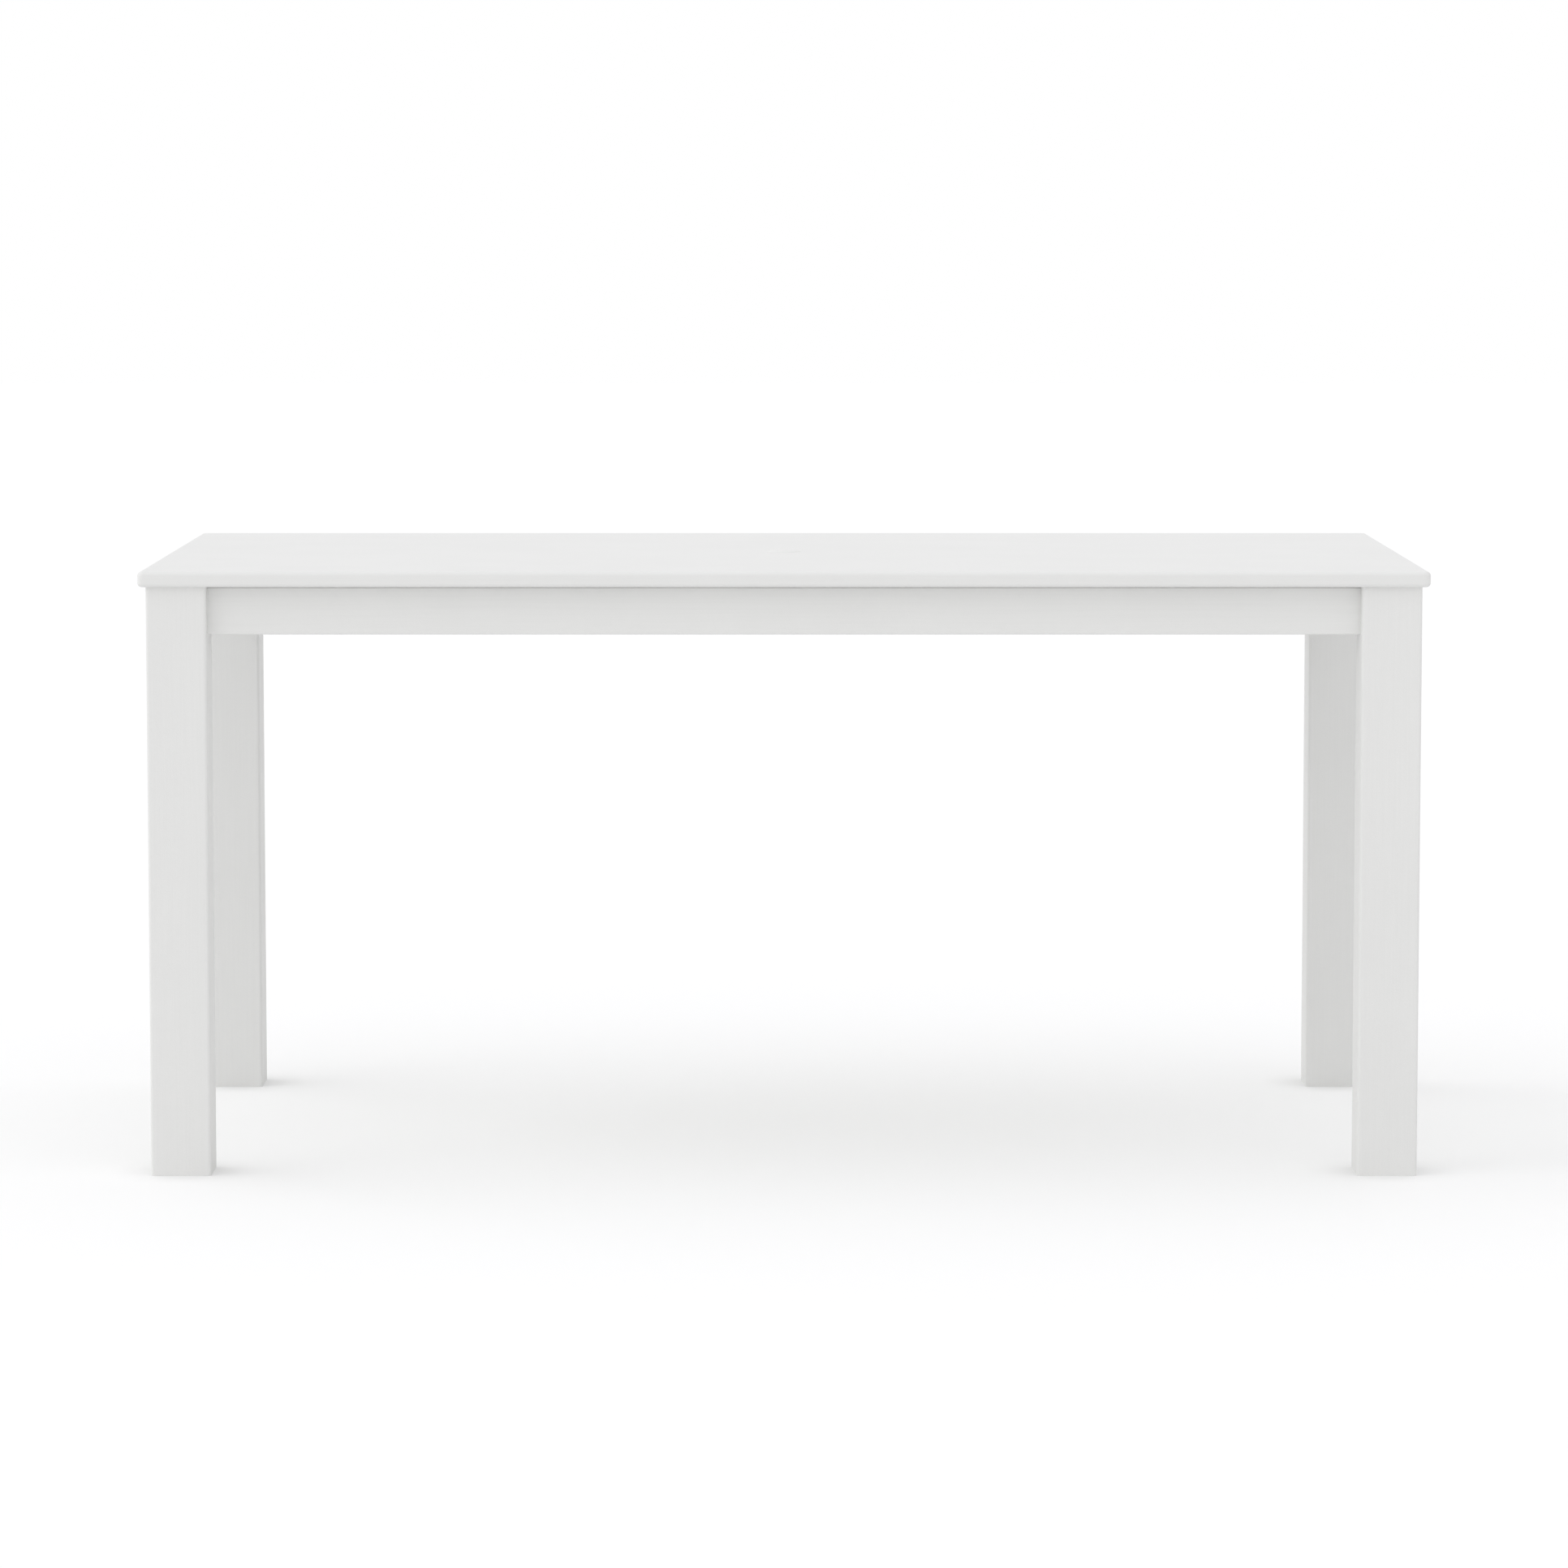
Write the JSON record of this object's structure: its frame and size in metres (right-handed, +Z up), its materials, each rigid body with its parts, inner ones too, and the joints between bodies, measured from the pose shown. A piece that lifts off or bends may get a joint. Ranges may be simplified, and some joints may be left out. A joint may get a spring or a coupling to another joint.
{
  "type": "dining table",
  "caption": "White rectangular parsons dining table: slab top with rounded edges on square corner posts, set-back aprons, and a lift-out plug in a central umbrella hole.",
  "frame": {"origin": "on the floor under the middle of the top", "axes": "+X along the length, +Z up, the front faces -Y"},
  "size_m": [1.6, 0.85, 0.758],
  "materials": {
    "white_board": "matte white solid plastic board, fine grained",
    "white_post": "matte white solid plastic post, fine grained",
    "white_moulding": "matte white moulded plastic",
    "bracket_steel": "satin stainless sheet",
    "fastener_steel": "plain stainless fasteners"
  },
  "bodies": {
    "table": {"tabletop": "white_board", "umbrella_block": "white_board", "front_apron": "white_board", "rear_apron": "white_board", "left_apron": "white_board", "right_apron": "white_board", "left_cross_rail": "white_board", "right_cross_rail": "white_board", "top_buttons": "white_board", "leg_front_left": "white_post", "leg_front_right": "white_post", "leg_rear_left": "white_post", "leg_rear_right": "white_post", "corner_bracket_front_left": "bracket_steel", "corner_bracket_front_right": "bracket_steel", "corner_bracket_rear_left": "bracket_steel", "corner_bracket_rear_right": "bracket_steel", "hanger_bolts": "fastener_steel", "hanger_washers": "fastener_steel", "hanger_nuts": "fastener_steel"},
    "plug": {"umbrella_plug": "white_moulding"}
  },
  "joints": [
    {"name": "plug_lift", "type": "slide", "parent": "table", "child": "plug", "axis": [0, 0, 1], "range_m": [0, 0.05]}
  ]
}
